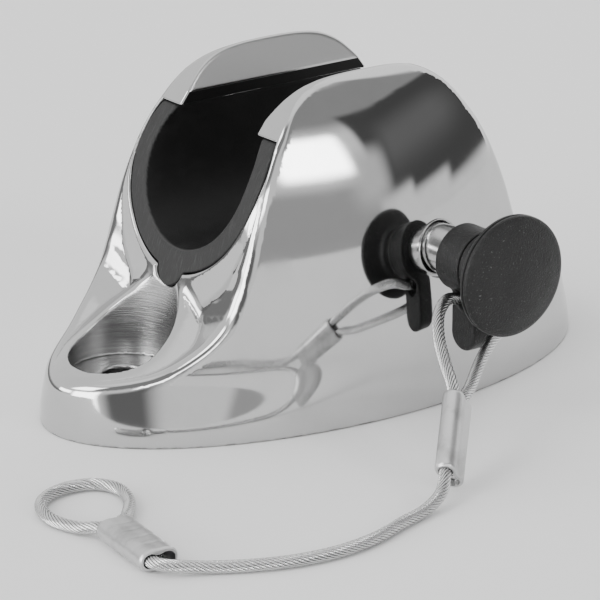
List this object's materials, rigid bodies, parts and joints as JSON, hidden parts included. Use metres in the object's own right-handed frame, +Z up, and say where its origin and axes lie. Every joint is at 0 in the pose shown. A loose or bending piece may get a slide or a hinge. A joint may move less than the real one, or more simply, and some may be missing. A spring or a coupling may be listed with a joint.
{
  "type": "deck pole chock with locking pin",
  "caption": "Polished cast deck chock with a rubber lined open channel, an across-going knobbed locking pin, and a wire rope lanyard with pressed ferrules.",
  "frame": {"origin": "centre of the underside of the cast body, on the deck plane", "axes": "+X along the pole channel, +Z up from the deck, the pin's knob on the -Y side"},
  "size_m": [0.1579, 0.1211, 0.069],
  "materials": {
    "cast_stainless": "mirror polished cast stainless steel, brushed rings in the counterbores",
    "liner_rubber": "smooth matt black rubber, slightly grey on its cut ends",
    "pin_steel": "turned and polished stainless steel",
    "knob_plastic": "black moulded plastic with a fine pebble grain and a glossier rim",
    "rope_steel": "bright stranded stainless wire rope",
    "ferrule_metal": "dull silvery pressed metal with press marks",
    "spring_steel": "plain spring wire"
  },
  "bodies": {
    "chock": {"body": "cast_stainless", "channel_liner": "liner_rubber"},
    "lanyard": {"lanyard_ring": "knob_plastic", "lanyard_cable": "rope_steel", "ferrule_pin_end": "ferrule_metal", "ferrule_free_end": "ferrule_metal"},
    "pin": {"pin_shaft": "pin_steel", "knob": "knob_plastic", "detent_spring": "spring_steel"},
    "ball": {"detent_ball": "pin_steel"}
  },
  "joints": [
    {"name": "pin_slide", "type": "slide", "parent": "chock", "child": "lanyard", "axis": [0, -1, 0], "range_m": [0, 0.058]},
    {"name": "pin_turn", "type": "hinge", "parent": "lanyard", "child": "pin", "pos_m": [0.009, -0.0412, 0.0332], "axis": [0, 1, 0], "continuous": true},
    {"name": "detent_press", "type": "slide", "parent": "pin", "child": "ball", "axis": [0, 0, -1], "range_m": [0, 0.0006], "stiffness_N_per_m": 400, "springref_m": -0.002, "deforming": ["detent_spring"]}
  ]
}
